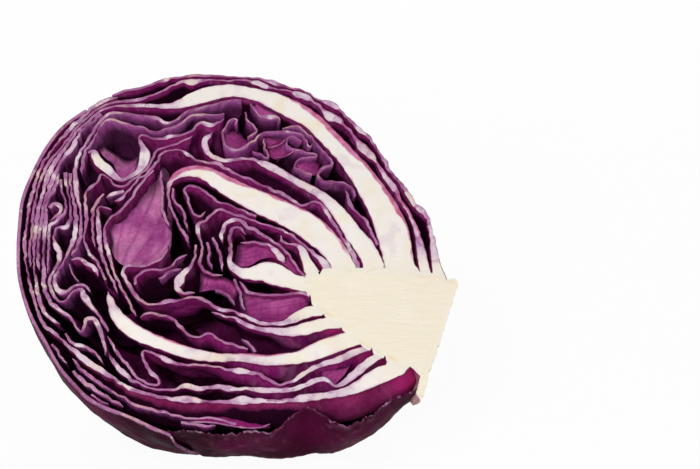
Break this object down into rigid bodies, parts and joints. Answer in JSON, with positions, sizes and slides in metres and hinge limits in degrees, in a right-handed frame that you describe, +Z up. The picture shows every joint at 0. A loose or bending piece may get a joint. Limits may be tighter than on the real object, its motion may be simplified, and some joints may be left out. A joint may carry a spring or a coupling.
{
  "type": "red cabbage half",
  "caption": "Half of a red cabbage, cut lengthwise through its cream core, with white ribs, crumpled purple leaves and a rounded back.",
  "frame": {"origin": "on the ground under the middle of the bounding box", "axes": "+Z up, +X towards the stump end, +Y towards the rounded back; the cut face leans back and looks towards -Y and up"},
  "size_m": [0.1648, 0.1354, 0.1199],
  "materials": {
    "core": "cut tissue, matte and slightly moist",
    "rib_leaf": "white cut tissue with a satin purple skin",
    "leaf": "satin purple skin with paler veins",
    "wrapper": "semi-matte purple skin with a dusty bloom"
  },
  "bodies": {
    "root": {"core": "core", "outer_wrapper_leaf": "wrapper", "upper_wrapper_leaf": "wrapper", "lower_wrapper_leaf": "wrapper", "second_leaf": "rib_leaf", "great_rib_leaf": "rib_leaf", "second_rib_leaf": "rib_leaf", "third_rib_leaf": "rib_leaf", "heart_rib_leaf": "rib_leaf", "inner_rib_leaf": "rib_leaf", "heart_leaf_2": "rib_leaf", "lower_rib_leaf": "rib_leaf", "lower_sheath_leaf": "rib_leaf", "lower_leaf_1": "rib_leaf", "lower_leaf_2": "leaf", "lower_leaf_3": "leaf", "lower_leaf_4": "leaf", "crown_leaf_1": "leaf", "crown_leaf_2": "leaf", "crown_leaf_3": "leaf", "pocket_leaf_1": "leaf", "pocket_leaf_2": "leaf", "pocket_leaf_3": "leaf", "pocket_leaf_4": "leaf", "pocket_leaf_5": "leaf", "pocket_leaf_6": "leaf", "middle_leaf": "leaf", "narrow_leaf": "leaf", "fold_leaf_1": "leaf", "fold_leaf_2": "leaf", "fold_leaf_3": "leaf", "fold_leaf_4": "leaf", "fold_leaf_5": "leaf", "broad_leaf": "leaf", "inner_fold_leaf": "leaf", "void_leaf_1": "leaf", "void_leaf_2": "leaf", "void_leaf_3": "leaf", "heart_cover_leaf": "leaf", "heart_leaf_1": "leaf", "fan_leaf": "leaf", "sheath_leaf_1": "leaf", "sheath_leaf_2": "leaf", "sheath_leaf_3": "leaf", "sheath_leaf_4": "leaf", "crumpled_leaf_1": "leaf", "crumpled_leaf_2": "leaf", "crumpled_leaf_3": "leaf", "crumpled_leaf_4": "leaf", "crumpled_leaf_5": "leaf", "crumpled_leaf_6": "leaf"}
  },
  "joints": []
}
